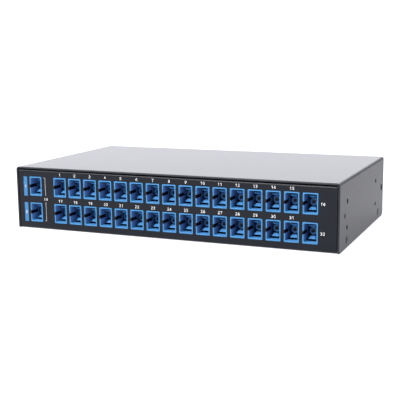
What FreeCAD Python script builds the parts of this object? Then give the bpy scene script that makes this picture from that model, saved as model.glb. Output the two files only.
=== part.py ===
"""Rack-mount fibre splitter: a folded steel case with 34 SC adapters in its front panel.

The case is two sheet-metal pieces. The tray is folded from one blank into the floor, the front
panel, the rear wall and two low side flanges. The cover is an inverted U that drops over the tray
and is held by countersunk screws in its sides. The adapters snap into the panel from the front, and
behind each one sits a connector on a fibre that runs by a bundle and a coil to the splitter module.

Frame: +X to the right as seen from the front, +Y to the rear, +Z up, millimetres. The origin is at
the middle of the case's underside.
"""
import FreeCAD, Part

import math
import os

import Sketcher

# ---------------------------------------------------------------------------------------------
# Driving dimensions, in millimetres unless the name says otherwise
# ---------------------------------------------------------------------------------------------

DIMENSIONS = [
    # case
    ("case_width", 234.0, "outside width of the cover"),
    ("case_depth", 135.0, "front edge to rear edge of the cover"),
    ("case_height", 44.0, "one rack unit, less its play"),
    ("cover_sheet", 1.2, "thickness of the cover"),
    ("cover_bend", 0.8, "inside radius of the cover's bends"),
    ("cover_gap", 0.5, "slit between the cover and the tray"),
    ("cover_rear_corner", 2.8, "rounding of the side walls, low at the rear"),
    ("cover_front_corner", 1.0, "rounding of the side walls, low at the front"),
    # tray
    ("tray_sheet", 1.2, "thickness of the tray"),
    ("tray_bend", 0.6, "inside radius of the tray's bends"),
    ("panel_setback", 0.3, "front panel and rear wall behind the cover's edges"),
    ("top_flange", 12.0, "depth of the panel's and rear wall's top flanges"),
    ("side_flange", 9.0, "height of the low side flanges"),
    ("corner_relief", 2.0, "square slot between the bends that meet at each lower corner"),
    ("panel_ear_height", 7.2, "ears of the front panel inside the cover's walls"),
    ("panel_ear_depth", 17.0, "how far the ears reach back"),
    ("panel_ear_middle", 21.6, "middle of the ears above the base"),
    # port layout
    ("uplink_inset", 15.75, "uplink column from the case's left side"),
    ("output_inset", 35.5, "first output column from the case's left side"),
    ("output_end", 18.0, "least room right of the last output column"),
    ("port_spacing", 12.0, "output port to output port, across"),
    ("level_spacing", 18.6, "lower row to upper row, upwards"),
    ("level_drop", 0.75, "middle of the two rows below the case's middle"),
    # adapter
    ("rim_width", 9.9, "rim in front of the panel"),
    ("rim_height", 13.6, "rim in front of the panel"),
    ("rim_proud", 0.5, "rim thickness"),
    ("adapter_width", 9.3, "body behind the rim"),
    ("adapter_height", 13.0, "body behind the rim"),
    ("adapter_length", 27.4, "rim face to rear end"),
    ("cutout_play", 0.1, "adapter body to the edge of its cut-out"),
    ("mouth_height", 11.2, "front mouth"),
    ("mouth_depth", 6.0, "rim face to the latch arms"),
    ("plug_width", 7.5, "front mouth and the space for a plug"),
    ("plug_height", 9.0, "space for a plug, between the latch arms"),
    ("latch_thickness", 0.6, "latch arm"),
    ("latch_depth", 12.0, "rim face to the latch arms' roots"),
    ("key_height", 2.4, "key slot in the left wall"),
    ("key_depth", 6.6, "key slot behind the rim face"),
    ("sleeve_radius", 2.2, "sleeve holder, over its corners"),
    ("sleeve_depth", 7.0, "rim face to the sleeve holder's end"),
    ("bore_radius", 1.3, "bore of the sleeve holder, over its corners"),
    ("middle_depth", 13.0, "rim face to the wall between the two sockets"),
    ("middle_wall", 1.4, "wall between the two sockets"),
    # adapter clip
    ("clip_sheet", 0.3, "spring steel"),
    ("clip_depth", 5.0, "along the adapter"),
    ("clip_play", 0.05, "clip to the adapter and to the panel"),
    ("clip_leg", 10.5, "how far the legs reach down the adapter's sides"),
    # connectors and boots
    ("plug_play", 0.05, "connector to its socket"),
    ("connector_tail", 9.6, "connector behind the adapter"),
    ("boot_radius", 2.0, "boot, over its corners"),
    ("boot_length", 14.0, "boot"),
    # side screws, nuts and holes, from the cover's front edge and the base unless they say otherwise
    ("side_screw_front", 18.4, "front cover screw"),
    ("side_screw_rear", 18.6, "rear cover screw, from the rear edge"),
    ("side_screw_height", 5.4, "cover screws"),
    ("screw_radius", 1.5, "cover screw thread"),
    ("screw_head", 2.6, "cover screw head radius, as deep as the cover's sheet"),
    ("screw_length", 5.0, "cover screw"),
    ("screw_play", 0.1, "screws to their holes"),
    ("ear_screw_front", 13.2, "small screw into the panel's ear"),
    ("ear_screw_radius", 0.9, "small screw's thread"),
    ("ear_screw_head", 1.6, "small screw's head radius, as deep as the cover's sheet"),
    ("ear_screw_length", 4.0, "small screw"),
    ("ear_hole_front", 19.4, "front rack-ear hole"),
    ("ear_hole_low", 13.2, "lower rack-ear hole"),
    ("ear_spacing_depth", 87.4, "rack-ear holes, front to rear"),
    ("ear_spacing_height", 16.8, "rack-ear holes, lower to upper"),
    ("ear_hole_radius", 1.6, "rack-ear holes"),
    ("ear_nut_radius", 3.1, "weld nut behind each ear hole, over its corners"),
    ("ear_nut_length", 2.0, "weld nut"),
    ("ear_nut_bore", 1.6, "weld nut's thread, over its corners"),
    ("side_hole_rear", 6.8, "plain hole, from the rear edge"),
    ("side_hole_height", 22.0, "plain hole near the rear edge"),
    ("side_hole_radius", 2.5, "plain hole near the rear edge"),
    # splitter module and fibre
    ("coil_straight", 60.0, "straight stretch of the coil"),
    ("coil_radius", 30.0, "middle line of the coil's ends"),
    ("coil_width", 7.0, "coil's section across"),
    ("coil_height", 6.9, "coil's section upwards"),
    ("coil_rear", 40.4, "coil's middle in front of the cover's rear edge"),
    ("saddle_floor", 1.5, "base of each saddle"),
    ("saddle_wall", 1.2, "sides of each saddle"),
    ("saddle_height", 7.5, "sides of each saddle"),
    ("saddle_length", 10.0, "along the coil"),
    ("saddle_spacing", 36.0, "between the two saddles of one stretch"),
    ("saddle_play", 0.2, "coil to the saddle's sides"),
    ("module_length", 60.0, "splitter module"),
    ("module_width", 12.0, "splitter module"),
    ("module_height", 4.0, "splitter module"),
    ("pad_height", 1.0, "foam tape under the module"),
    ("tail_radius", 1.0, "fibre tails from the module to the coil"),
    ("bundle_radius", 2.0, "fibre bundles behind the boots, over their corners"),
    ("bundle_play", 0.1, "bundles to the boots, the coil and each other"),
    ("bundle_overrun", 1.5, "straight run beyond the first and last columns"),
    ("bundle_bend", 11.0, "middle line of the first bend"),
    ("bundle_sweep", 24.0, "middle line of the bend on to the coil"),
    ("bundle_level", 28.0, "level run of the upper bundle before it falls"),
    ("bundle_fall_bend", 40.0, "middle line of the bend where it starts to fall"),
    ("bundle_end", 0.0, "end of the bundles on the coil, from the case's middle"),
]
ROWS = 2
BUNDLE_SIDES = 4
SCREW_SIDES = 10
COIL_END_SIDES = 8

doc = FreeCAD.newDocument("fibre_splitter")
sheet = doc.addObject("Spreadsheet::Sheet", "dims")
for line, (alias, size, meaning) in enumerate(DIMENSIONS, start=1):
    sheet.set(f"A{line}", alias)
    sheet.set(f"B{line}", str(size))
    sheet.set(f"C{line}", meaning)
    sheet.setAlias(f"B{line}", alias)
doc.recompute()

# Places that several pieces share, as expressions in the sheet's dimensions
REAR = "((dims.case_depth + dims.rim_proud - dims.panel_setback) / 2)"
FRONT = f"(-{REAR})"
COVER_FRONT = f"({REAR} - dims.case_depth)"
PANEL_FACE = f"({COVER_FRONT} + dims.panel_setback)"
REAR_FACE = f"({REAR} - dims.panel_setback)"
COVER_SIDE = "(dims.case_width / 2)"
COVER_INSIDE = f"({COVER_SIDE} - dims.cover_sheet)"
TRAY_SIDE = f"({COVER_INSIDE} - dims.cover_gap)"
TRAY_TOP = "(dims.case_height - dims.cover_sheet - dims.cover_gap)"
UPLINK_X = f"(dims.uplink_inset - {COVER_SIDE})"
OUTPUT_X = f"(dims.output_inset - {COVER_SIDE})"
LOWER_ROW = "(dims.case_height / 2 - dims.level_drop - dims.level_spacing / 2)"
UPPER_ROW = f"({LOWER_ROW} + dims.level_spacing)"
CONNECTOR_END = f"({FRONT} + dims.adapter_length + dims.connector_tail)"
BUNDLE_Y = f"({CONNECTOR_END} + dims.boot_length + dims.bundle_radius + dims.bundle_play)"
FRONT_SCREW_Y = f"({COVER_FRONT} + dims.side_screw_front)"
REAR_SCREW_Y = f"({REAR} - dims.side_screw_rear)"
EAR_SCREW_Y = f"({COVER_FRONT} + dims.ear_screw_front)"
COIL_Y = f"({REAR} - dims.coil_rear)"
COIL_BASE = "(dims.tray_sheet + dims.saddle_floor)"
COIL_TOP = f"({COIL_BASE} + dims.coil_height)"


# ---------------------------------------------------------------------------------------------
# Helpers
# ---------------------------------------------------------------------------------------------

def measure(expression):
    """Number of millimetres that an expression in the sheet's dimensions stands for."""
    result = sheet.evalExpression(str(expression))
    return float(getattr(result, "Value", result))


# As many output columns as the panel's width holds
OUTPUT_ROOM = "(dims.case_width - dims.output_inset - dims.output_end)"
OUTPUT_COLUMNS = 1 + math.floor(measure(f"{OUTPUT_ROOM} / dims.port_spacing"))
LAST_OUTPUT_X = f"({OUTPUT_X} + {OUTPUT_COLUMNS - 1} * dims.port_spacing)"


def new_body(label):
    """Empty body whose label is the sub-part's name."""
    body = doc.addObject("PartDesign::Body", label)
    body.Label = label
    return body


def origin_feature(body, role):
    """Plane or axis of the body's own origin."""
    return next(feature for feature in body.Origin.OriginFeatures if feature.Role == role)


def new_sketch(body, name, role, offset=("0", "0", "0")):
    """Sketch on one of the body's origin planes, moved by expressions in the plane's own axes."""
    sketch = body.newObject("Sketcher::SketchObject", name)
    sketch.AttachmentSupport = [(origin_feature(body, role), "")]
    sketch.MapMode = "FlatFace"
    for axis, expression in zip("xyz", offset):
        sketch.setExpression(f"AttachmentOffset.Base.{axis}", f"1 mm * ({expression})")
    return sketch


def drive(sketch, kind, geometry, vertex, expression):
    """Distance of a vertex from the sketch's origin, bound to an expression."""
    constraint = Sketcher.Constraint(kind, -1, 1, geometry, vertex, measure(expression))
    index = sketch.addConstraint(constraint)
    sketch.setExpression(f"Constraints[{index}]", expression)


def add_polygon(sketch, corners):
    """Closed outline whose corners are pairs of expressions."""
    first = sketch.GeometryCount
    count = len(corners)
    points = [FreeCAD.Vector(measure(across), measure(up), 0) for across, up in corners]
    sides = [Part.LineSegment(points[i], points[(i + 1) % count]) for i in range(count)]
    sketch.addGeometry(sides, False)
    for i in range(count):
        sketch.addConstraint(
            Sketcher.Constraint("Coincident", first + i, 2, first + (i + 1) % count, 1)
        )
    for i, (across, up) in enumerate(corners):
        drive(sketch, "DistanceX", first + i, 1, across)
        drive(sketch, "DistanceY", first + i, 1, up)


def add_rectangle(sketch, left, right, low, high):
    """Rectangle between four expressions."""
    add_polygon(sketch, [(left, low), (right, low), (right, high), (left, high)])


def add_centred_rectangle(sketch, width, height, across="0", up="0"):
    """Rectangle of a given width and height about a centre."""
    add_rectangle(
        sketch,
        f"({across}) - ({width}) / 2",
        f"({across}) + ({width}) / 2",
        f"({up}) - ({height}) / 2",
        f"({up}) + ({height}) / 2",
    )


def add_regular_polygon(sketch, sides, radius, across="0", up="0"):
    """Regular outline whose corners lie on a circle, with a flat side at the bottom."""
    corners = []
    for i in range(sides):
        turn = 360 * (i + 0.5) / sides - 90
        corners.append((
            f"({across}) + ({radius}) * cos({turn} deg)",
            f"({up}) + ({radius}) * sin({turn} deg)",
        ))
    add_polygon(sketch, corners)


def add_circle(sketch, across, up, radius):
    """Circle whose centre and radius are expressions."""
    centre = FreeCAD.Vector(measure(across), measure(up), 0)
    normal = FreeCAD.Vector(0, 0, 1)
    circle = sketch.addGeometry(Part.Circle(centre, normal, measure(radius)), False)
    drive(sketch, "DistanceX", circle, 3, across)
    drive(sketch, "DistanceY", circle, 3, up)
    index = sketch.addConstraint(Sketcher.Constraint("Radius", circle, measure(radius)))
    sketch.setExpression(f"Constraints[{index}]", radius)


def pad(body, sketch, length, reverse=False, midplane=False):
    """Adds material from a sketch along its normal, or against it."""
    feature = body.newObject("PartDesign::Pad", "pad_" + sketch.Name)
    feature.Profile = sketch
    feature.setExpression("Length", f"1 mm * ({length})")
    feature.Reversed = reverse
    if midplane:
        feature.SideType = "Symmetric"
    doc.recompute()
    return feature


def cut(body, sketch, length, reverse=False, midplane=False):
    """Removes material from a sketch against its normal, or along it, and proves that it did."""
    before = body.Shape.Volume
    feature = body.newObject("PartDesign::Pocket", "cut_" + sketch.Name)
    feature.Profile = sketch
    feature.setExpression("Length", f"1 mm * ({length})")
    feature.Reversed = reverse
    if midplane:
        feature.SideType = "Symmetric"
    doc.recompute()
    if body.Shape.Volume >= before - 1e-6:
        raise RuntimeError(f"{body.Label}: {sketch.Name} cut nothing")
    return feature


def repeat(body, feature, sketch, pitch, count, axis="H_Axis", second=None, whole=False):
    """Row of copies along a sketch axis, or a grid with a second (axis, pitch, count).

    It repeats one feature, or the whole body so far.
    """
    pattern = body.newObject("PartDesign::LinearPattern", "row_" + sketch.Name)
    if whole:
        pattern.TransformMode = "Whole shape"
    else:
        pattern.Originals = [feature]
    pattern.Direction = (sketch, [axis])
    pattern.setExpression("Length", f"1 mm * ({pitch}) * {count - 1}")
    pattern.Occurrences = count
    if second is not None:
        second_axis, second_pitch, second_count = second
        pattern.Direction2 = (sketch, [second_axis])
        pattern.setExpression("Length2", f"1 mm * ({second_pitch}) * {second_count - 1}")
        pattern.Occurrences2 = second_count
    body.Tip = pattern
    doc.recompute()
    return pattern


def mirror_body(body, role):
    """Adds the mirror image of the whole body in one of its origin planes."""
    mirrored = body.newObject("PartDesign::Mirrored", "mirrored_" + body.Label)
    mirrored.TransformMode = "Whole shape"
    mirrored.MirrorPlane = (origin_feature(body, role), [""])
    body.Tip = mirrored
    doc.recompute()
    return mirrored


def edges_along(shape, direction, places):
    """Names of the straight edges that run along a unit direction through any of the places."""
    names = []
    for number, edge in enumerate(shape.Edges, start=1):
        if edge.Curve.TypeId != "Part::GeomLine":
            continue
        if abs(abs(edge.tangentAt(edge.FirstParameter).dot(direction)) - 1) > 1e-6:
            continue
        start = edge.Vertexes[0].Point
        for place in places:
            offset = start - place
            if (offset - direction * offset.dot(direction)).Length < 1e-3:
                names.append(f"Edge{number}")
                break
    return names


def round_edges(body, direction, places, radius):
    """Fillets the straight edges that run along a direction through the given places."""
    base = body.Tip
    names = edges_along(base.Shape, direction, places)
    if not names:
        raise RuntimeError(f"{body.Label}: no edge to round")
    fillet = body.newObject("PartDesign::Fillet", "bend")
    fillet.Base = (base, names)
    fillet.setExpression("Radius", f"1 mm * ({radius})")
    doc.recompute()
    if "Invalid" in fillet.State:
        raise RuntimeError(f"{body.Label}: {names} could not be rounded by {radius}")
    return fillet


ALONG_X = FreeCAD.Vector(1, 0, 0)
ALONG_Y = FreeCAD.Vector(0, 1, 0)


def through_x(places):
    """Points on lines along X, from pairs of expressions for Y and Z."""
    return [FreeCAD.Vector(0, measure(y), measure(z)) for y, z in places]


def through_y(places):
    """Points on lines along Y, from pairs of expressions for X and Z."""
    return [FreeCAD.Vector(measure(x), 0, measure(z)) for x, z in places]


# ---------------------------------------------------------------------------------------------
# Case
# ---------------------------------------------------------------------------------------------

def make_tray():
    """Floor, front panel, rear wall and side flanges, folded from one blank."""
    body = new_body("base_tray")
    inner_front = f"({PANEL_FACE} + dims.tray_sheet)"
    inner_rear = f"({REAR_FACE} - dims.tray_sheet)"
    inner_top = f"({TRAY_TOP} - dims.tray_sheet)"
    inner_side = f"({TRAY_SIDE} - dims.tray_sheet)"
    outer_bend = "(dims.tray_bend + dims.tray_sheet)"

    section = new_sketch(body, "tray_section", "YZ_Plane")
    add_polygon(section, [
        (f"{PANEL_FACE} + dims.top_flange", TRAY_TOP),
        (PANEL_FACE, TRAY_TOP),
        (PANEL_FACE, "0"),
        (REAR_FACE, "0"),
        (REAR_FACE, TRAY_TOP),
        (f"{REAR_FACE} - dims.top_flange", TRAY_TOP),
        (f"{REAR_FACE} - dims.top_flange", inner_top),
        (inner_rear, inner_top),
        (inner_rear, "dims.tray_sheet"),
        (inner_front, "dims.tray_sheet"),
        (inner_front, inner_top),
        (f"{PANEL_FACE} + dims.top_flange", inner_top),
    ])
    pad(body, section, f"2 * {TRAY_SIDE}", midplane=True)
    outside = [(PANEL_FACE, TRAY_TOP), (PANEL_FACE, "0"), (REAR_FACE, "0"), (REAR_FACE, TRAY_TOP)]
    inside = [
        (inner_front, inner_top),
        (inner_front, "dims.tray_sheet"),
        (inner_rear, "dims.tray_sheet"),
        (inner_rear, inner_top),
    ]
    round_edges(body, ALONG_X, through_x(outside), outer_bend)
    round_edges(body, ALONG_X, through_x(inside), "dims.tray_bend")

    relief = new_sketch(body, "corner_reliefs", "XY_Plane")
    panel_bend_end = f"({PANEL_FACE} + {outer_bend})"
    rear_bend_end = f"({REAR_FACE} - {outer_bend})"
    flange_front = f"({panel_bend_end} + dims.corner_relief)"
    flange_rear = f"({rear_bend_end} - dims.corner_relief)"
    for side in ("", "-"):
        edge = f"{side}({TRAY_SIDE} + dims.cover_gap)"
        inner = f"{side}({TRAY_SIDE} - dims.corner_relief)"
        left, right = (inner, edge) if side == "" else (edge, inner)
        add_rectangle(relief, left, right, panel_bend_end, flange_front)
        add_rectangle(relief, left, right, flange_rear, rear_bend_end)
    cut(body, relief, "dims.tray_sheet", reverse=True)

    flanges = new_sketch(body, "side_flanges", "XY_Plane")
    for side in ("", "-"):
        inner = f"{side}({inner_side})"
        outer = f"{side}({TRAY_SIDE})"
        left, right = (inner, outer) if side == "" else (outer, inner)
        add_rectangle(flanges, left, right, flange_front, flange_rear)
    pad(body, flanges, "dims.side_flange")
    foot = "dims.tray_sheet"
    round_edges(
        body, ALONG_Y, through_y([(inner_side, foot), (f"-({inner_side})", foot)]), "dims.tray_bend"
    )
    round_edges(body, ALONG_Y, through_y([(TRAY_SIDE, "0"), (f"-{TRAY_SIDE}", "0")]), outer_bend)

    ear_base = "(dims.panel_ear_middle - dims.panel_ear_height / 2)"
    ears = new_sketch(body, "panel_ears", "XY_Plane", ("0", "0", ear_base))
    for side in ("", "-"):
        inner = f"{side}({inner_side})"
        outer = f"{side}({TRAY_SIDE})"
        left, right = (inner, outer) if side == "" else (outer, inner)
        add_rectangle(ears, left, right, inner_front, f"{PANEL_FACE} + dims.panel_ear_depth")
    pad(body, ears, "dims.panel_ear_height")

    for name, column, columns in (("uplink", UPLINK_X, 1), ("output", OUTPUT_X, OUTPUT_COLUMNS)):
        hole = new_sketch(body, f"{name}_cutouts", "XZ_Plane")
        add_centred_rectangle(
            hole,
            "dims.adapter_width + 2 * dims.cutout_play",
            "dims.adapter_height + 2 * dims.cutout_play",
            column,
            LOWER_ROW,
        )
        first = cut(body, hole, REAR, reverse=True)
        if columns == 1:
            repeat(body, first, hole, "dims.level_spacing", ROWS, "V_Axis")
        else:
            rows = ("V_Axis", "dims.level_spacing", ROWS)
            repeat(body, first, hole, "dims.port_spacing", columns, second=rows)

    taps = new_sketch(body, "screw_holes", "YZ_Plane")
    for across in (FRONT_SCREW_Y, REAR_SCREW_Y):
        add_regular_polygon(
            taps, SCREW_SIDES, "dims.screw_radius + dims.screw_play", across,
            "dims.side_screw_height",
        )
    add_regular_polygon(
        taps, SCREW_SIDES, "dims.ear_screw_radius + dims.screw_play", EAR_SCREW_Y,
        "dims.panel_ear_middle",
    )
    cut(body, taps, "dims.case_width", midplane=True)
    return body


def make_cover():
    """Top and two side walls, folded as an inverted U, with its screw and ear holes."""
    body = new_body("top_cover")
    ceiling = "(dims.case_height - dims.cover_sheet)"
    section = new_sketch(body, "cover_section", "XZ_Plane", ("0", "0", f"-{REAR}"))
    add_polygon(section, [
        (f"-{COVER_SIDE}", "0"),
        (f"-{COVER_SIDE}", "dims.case_height"),
        (COVER_SIDE, "dims.case_height"),
        (COVER_SIDE, "0"),
        (COVER_INSIDE, "0"),
        (COVER_INSIDE, ceiling),
        (f"-{COVER_INSIDE}", ceiling),
        (f"-{COVER_INSIDE}", "0"),
    ])
    pad(body, section, "dims.case_depth")
    outside = [(COVER_SIDE, "dims.case_height"), (f"-{COVER_SIDE}", "dims.case_height")]
    inside = [(COVER_INSIDE, ceiling), (f"-{COVER_INSIDE}", ceiling)]
    round_edges(body, ALONG_Y, through_y(outside), "dims.cover_bend + dims.cover_sheet")
    round_edges(body, ALONG_Y, through_y(inside), "dims.cover_bend")
    round_edges(body, ALONG_X, through_x([(REAR, "0")]), "dims.cover_rear_corner")
    round_edges(body, ALONG_X, through_x([(COVER_FRONT, "0")]), "dims.cover_front_corner")

    holes = new_sketch(body, "wall_holes", "YZ_Plane")
    for depth in ("0", "dims.ear_spacing_depth"):
        for rise in ("0", "dims.ear_spacing_height"):
            add_circle(
                holes, f"{COVER_FRONT} + dims.ear_hole_front + {depth}",
                f"dims.ear_hole_low + {rise}", "dims.ear_hole_radius",
            )
    add_circle(
        holes, f"{REAR} - dims.side_hole_rear", "dims.side_hole_height", "dims.side_hole_radius"
    )
    cut(body, holes, "2 * dims.case_width", midplane=True)

    for place, across, up, size in (
        ("front", FRONT_SCREW_Y, "dims.side_screw_height", "screw"),
        ("rear", REAR_SCREW_Y, "dims.side_screw_height", "screw"),
        ("ear", EAR_SCREW_Y, "dims.panel_ear_middle", "ear_screw"),
    ):
        head = f"(dims.{size}_head + dims.screw_play)"
        neck = f"(dims.{size}_radius + dims.screw_play)"
        for side, outward, inward in (("right", "", "-"), ("left", "-", "")):
            seat = new_sketch(
                body, f"seat_{place}_{side}", "XY_Plane", (f"{outward}{COVER_SIDE}", across, up)
            )
            wall = f"{inward}dims.cover_sheet"
            add_polygon(seat, [("0", "0"), ("0", head), (wall, neck), (wall, "0")])
            before = body.Shape.Volume
            groove = body.newObject("PartDesign::Groove", f"countersink_{place}_{side}")
            groove.Profile = seat
            groove.ReferenceAxis = (seat, ["H_Axis"])
            groove.Angle = 360
            doc.recompute()
            if body.Shape.Volume >= before - 1e-6:
                raise RuntimeError(f"top_cover: {seat.Name} cut nothing")
    return body


# ---------------------------------------------------------------------------------------------
# Adapters, their clips, and the connectors behind them
# ---------------------------------------------------------------------------------------------

def make_adapter_moulding():
    """One SC adapter with its rim's face in the XZ plane and its body along +Y.

    The front mouth lowers to the height of a plug at two latch arms, above and below. The sleeve
    holder stands on the wall between the two sockets, and the key slot opens the left wall.
    """
    body = new_body("adapter_moulding")
    rim = new_sketch(body, "adapter_rim", "XZ_Plane")
    add_centred_rectangle(rim, "dims.rim_width", "dims.rim_height")
    pad(body, rim, "dims.rim_proud", reverse=True)
    barrel = new_sketch(body, "adapter_barrel", "XZ_Plane")
    add_centred_rectangle(barrel, "dims.adapter_width", "dims.adapter_height")
    pad(body, barrel, "dims.adapter_length", reverse=True)

    mouth = new_sketch(body, "adapter_mouth", "XZ_Plane")
    add_centred_rectangle(mouth, "dims.plug_width", "dims.mouth_height")
    cut(body, mouth, "dims.mouth_depth")
    entry = new_sketch(body, "plug_entry", "XZ_Plane")
    add_centred_rectangle(entry, "dims.plug_width", "dims.plug_height")
    cut(body, entry, "dims.sleeve_depth")
    socket = new_sketch(body, "plug_socket", "XZ_Plane")
    add_centred_rectangle(socket, "dims.plug_width", "dims.plug_height")
    add_regular_polygon(socket, 8, "dims.sleeve_radius")
    cut(body, socket, "dims.middle_depth")
    bore = new_sketch(body, "sleeve_bore", "XZ_Plane")
    add_regular_polygon(bore, 6, "dims.bore_radius")
    cut(body, bore, "dims.middle_depth")

    latches = new_sketch(body, "latch_gaps", "XZ_Plane")
    latch_back = "(dims.plug_height / 2 + dims.latch_thickness)"
    mouth_top = "dims.mouth_height / 2"
    half_width = "dims.plug_width / 2"
    for low, high in ((latch_back, mouth_top), (f"-{mouth_top}", f"-{latch_back}")):
        add_rectangle(latches, f"-{half_width}", half_width, low, high)
    cut(body, latches, "dims.latch_depth")

    key = new_sketch(body, "key_slot", "XZ_Plane")
    add_rectangle(key, "-dims.rim_width", "0", "-dims.key_height / 2", "dims.key_height / 2")
    cut(body, key, "dims.key_depth")

    rear = new_sketch(body, "rear_socket", "XZ_Plane", ("0", "0", "-dims.adapter_length"))
    add_centred_rectangle(rear, "dims.plug_width", "dims.plug_height")
    cut(body, rear, "dims.adapter_length - dims.middle_depth - dims.middle_wall", reverse=True)
    return body


def place_adapter(moulding, label, column, height):
    """Copy of the moulding in one cut-out, with the back of its rim on the panel."""
    body = new_body(label)
    copy = doc.addObject("PartDesign::FeatureBase", label + "_copy")
    body.Group = [copy]
    copy.BaseFeature = moulding
    body.Tip = copy
    body.setExpression("Placement.Base.x", f"1 mm * ({column})")
    body.setExpression("Placement.Base.y", f"1 mm * ({FRONT})")
    body.setExpression("Placement.Base.z", f"1 mm * ({height})")
    return body


def make_adapters():
    """All adapters: two uplinks in the left column and two rows of outputs."""
    moulding = make_adapter_moulding()
    rows = (UPPER_ROW, LOWER_ROW)
    adapters = []
    for row, height in enumerate(rows):
        adapters.append(place_adapter(moulding, f"adapter_uplink_{row + 1}", UPLINK_X, height))
    for row, height in enumerate(rows):
        for column in range(OUTPUT_COLUMNS):
            number = row * OUTPUT_COLUMNS + column + 1
            across = f"{OUTPUT_X} + {column} * dims.port_spacing"
            label = f"adapter_out_{number:02d}"
            adapters.append(place_adapter(moulding, label, across, height))
    return adapters


def spread_over_ports(body, feature, sketch, is_output, whole=False):
    """Repeats what stands behind the first lower port behind the others of its group."""
    if is_output:
        rows = ("V_Axis", "dims.level_spacing", ROWS)
        repeat(body, feature, sketch, "dims.port_spacing", OUTPUT_COLUMNS, second=rows, whole=whole)
    else:
        repeat(body, feature, sketch, "dims.level_spacing", ROWS, "V_Axis", whole=whole)


def make_clips(label, column, is_output):
    """Spring-steel saddles that hold the adapters against the back of the panel."""
    body = new_body(label)
    start = f"({PANEL_FACE} + dims.tray_sheet + dims.clip_play)"
    saddle = new_sketch(
        body, label + "_section", "XZ_Plane", (column, LOWER_ROW, f"-{start}")
    )
    inner_side = "(dims.adapter_width / 2 + dims.clip_play)"
    inner_top = "(dims.adapter_height / 2 + dims.clip_play)"
    outer_side = f"({inner_side} + dims.clip_sheet)"
    outer_top = f"({inner_top} + dims.clip_sheet)"
    foot = f"({inner_top} - dims.clip_leg)"
    add_polygon(saddle, [
        (f"-{outer_side}", foot),
        (f"-{outer_side}", outer_top),
        (outer_side, outer_top),
        (outer_side, foot),
        (inner_side, foot),
        (inner_side, inner_top),
        (f"-{inner_side}", inner_top),
        (f"-{inner_side}", foot),
    ])
    feature = pad(body, saddle, "dims.clip_depth", reverse=True)
    spread_over_ports(body, feature, saddle, is_output)
    return body


def make_connectors(label, column, is_output):
    """Connectors plugged into the adapters from inside, up to the wall between the sockets."""
    body = new_body(label)
    face = f"({FRONT} + dims.middle_depth + dims.middle_wall)"
    housing = new_sketch(
        body, label + "_housing", "XZ_Plane", (column, LOWER_ROW, f"-{face}")
    )
    add_centred_rectangle(
        housing, "dims.plug_width - 2 * dims.plug_play", "dims.plug_height - 2 * dims.plug_play"
    )
    feature = pad(body, housing, f"{CONNECTOR_END} - {face}", reverse=True)
    spread_over_ports(body, feature, housing, is_output)
    return body


def make_boots(label, column, is_output):
    """Boots on the connectors' rear ends."""
    body = new_body(label)
    root = new_sketch(
        body, label + "_root", "XZ_Plane", (column, LOWER_ROW, f"-{CONNECTOR_END}")
    )
    add_regular_polygon(root, 6, "dims.boot_radius")
    feature = pad(body, root, "dims.boot_length", reverse=True)
    spread_over_ports(body, feature, root, is_output)
    return body


# ---------------------------------------------------------------------------------------------
# Screws and nuts in the side walls
# ---------------------------------------------------------------------------------------------

def add_countersunk_screw(body, across, up, size):
    """Screw through the right wall, its head flush with the wall and as deep as the sheet.

    The name in size is the start of the screw's own sizes. It returns the sketch of its shank.
    """
    rim = new_sketch(body, "head_rim", "YZ_Plane", ("0", "0", COVER_SIDE))
    add_regular_polygon(rim, SCREW_SIDES, f"dims.{size}_head", across, up)
    neck = new_sketch(body, "head_neck", "YZ_Plane", ("0", "0", COVER_INSIDE))
    add_regular_polygon(neck, SCREW_SIDES, f"dims.{size}_radius", across, up)
    head = body.newObject("PartDesign::AdditiveLoft", "head")
    head.Profile = rim
    head.Sections = [neck]
    head.Ruled = True
    doc.recompute()
    shank = new_sketch(body, "shank_section", "YZ_Plane", ("0", "0", COVER_INSIDE))
    add_regular_polygon(shank, SCREW_SIDES, f"dims.{size}_radius", across, up)
    pad(body, shank, f"dims.{size}_length - dims.cover_sheet", reverse=True)
    return shank


def make_cover_screws():
    """Screws that hold the cover to the tray's flanges, two in each wall."""
    body = new_body("cover_screws")
    shank = add_countersunk_screw(body, FRONT_SCREW_Y, "dims.side_screw_height", "screw")
    repeat(body, body.Tip, shank, f"({REAR_SCREW_Y} - {FRONT_SCREW_Y})", 2, whole=True)
    mirror_body(body, "YZ_Plane")
    return body


def make_ear_screws():
    """Small screws through the cover into the front panel's ears, one in each wall."""
    body = new_body("ear_screws")
    add_countersunk_screw(body, EAR_SCREW_Y, "dims.panel_ear_middle", "ear_screw")
    mirror_body(body, "YZ_Plane")
    return body


def make_ear_nuts():
    """Hexagonal weld nuts on the inside of both walls, behind the rack-ear holes."""
    body = new_body("ear_nuts")
    ring = new_sketch(body, "nut_section", "YZ_Plane", ("0", "0", COVER_INSIDE))
    across = f"{COVER_FRONT} + dims.ear_hole_front"
    add_regular_polygon(ring, 6, "dims.ear_nut_radius", across, "dims.ear_hole_low")
    add_regular_polygon(ring, 8, "dims.ear_nut_bore", across, "dims.ear_hole_low")
    nut = pad(body, ring, "dims.ear_nut_length", reverse=True)
    second = ("V_Axis", "dims.ear_spacing_height", 2)
    repeat(body, nut, ring, "dims.ear_spacing_depth", 2, second=second)
    mirror_body(body, "YZ_Plane")
    return body


# ---------------------------------------------------------------------------------------------
# Splitter module and fibre
# ---------------------------------------------------------------------------------------------

def make_coil():
    """Slack of all the fibres, wound into one oval coil above the floor."""
    body = new_body("fibre_coil")
    outline = new_sketch(body, "coil_outline", "XY_Plane", ("0", COIL_Y, COIL_BASE))
    for sign in ("+", "-"):
        add_oval(outline, f"(dims.coil_radius {sign} dims.coil_width / 2)")
    pad(body, outline, "dims.coil_height")
    return body


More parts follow.
